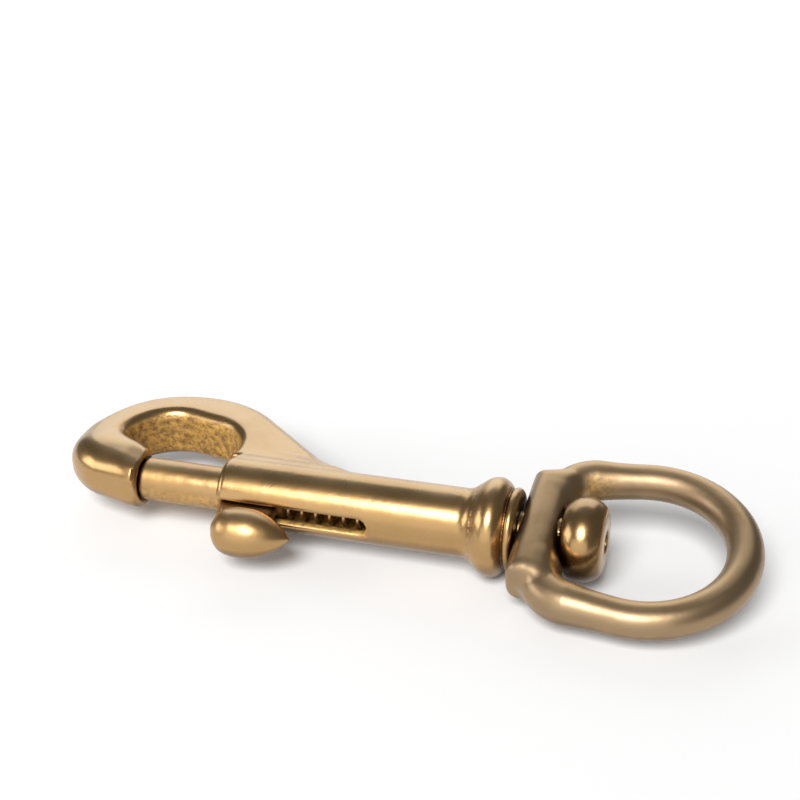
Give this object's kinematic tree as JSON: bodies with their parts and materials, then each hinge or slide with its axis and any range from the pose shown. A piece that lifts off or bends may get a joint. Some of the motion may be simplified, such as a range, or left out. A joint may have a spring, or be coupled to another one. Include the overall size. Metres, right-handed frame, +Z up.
{
  "type": "swivel-eye bolt snap",
  "caption": "Brass snap hook with a sliding spring bolt and thumb knob closing its throat, and a round-wire eye that swivels on a headed stem.",
  "frame": {"origin": "centre of the eye's round end, on the swivel axis", "axes": "+X along the swivel axis from the hook to the eye, +Y to the hook's closed back away from the thumb knob, +Z up through the hook's flat side as it lies"},
  "size_m": [0.1217, 0.0432, 0.0164],
  "materials": {
    "body_brass": "satin cast brass with brown patina in the hollows",
    "bolt_brass": "satin brass, worn brighter on the knob and the bolt's tip",
    "spring_steel": "bright spring wire",
    "eye_brass": "satin cast brass, worn smooth on the loop"
  },
  "bodies": {
    "body": {"hook_body": "body_brass", "spring": "spring_steel"},
    "bolt": {"bolt": "bolt_brass"},
    "eye": {"swivel_eye": "eye_brass"}
  },
  "joints": [
    {"name": "bolt_slide", "type": "slide", "parent": "body", "child": "bolt", "axis": [1, 0, 0], "range_m": [0, 0.0155], "stiffness_N_per_m": 600, "springref_m": -0.008, "deforming": ["spring"]},
    {"name": "swivel", "type": "hinge", "parent": "body", "child": "eye", "pos_m": [0, 0, 0], "axis": [1, 0, 0], "continuous": true}
  ]
}
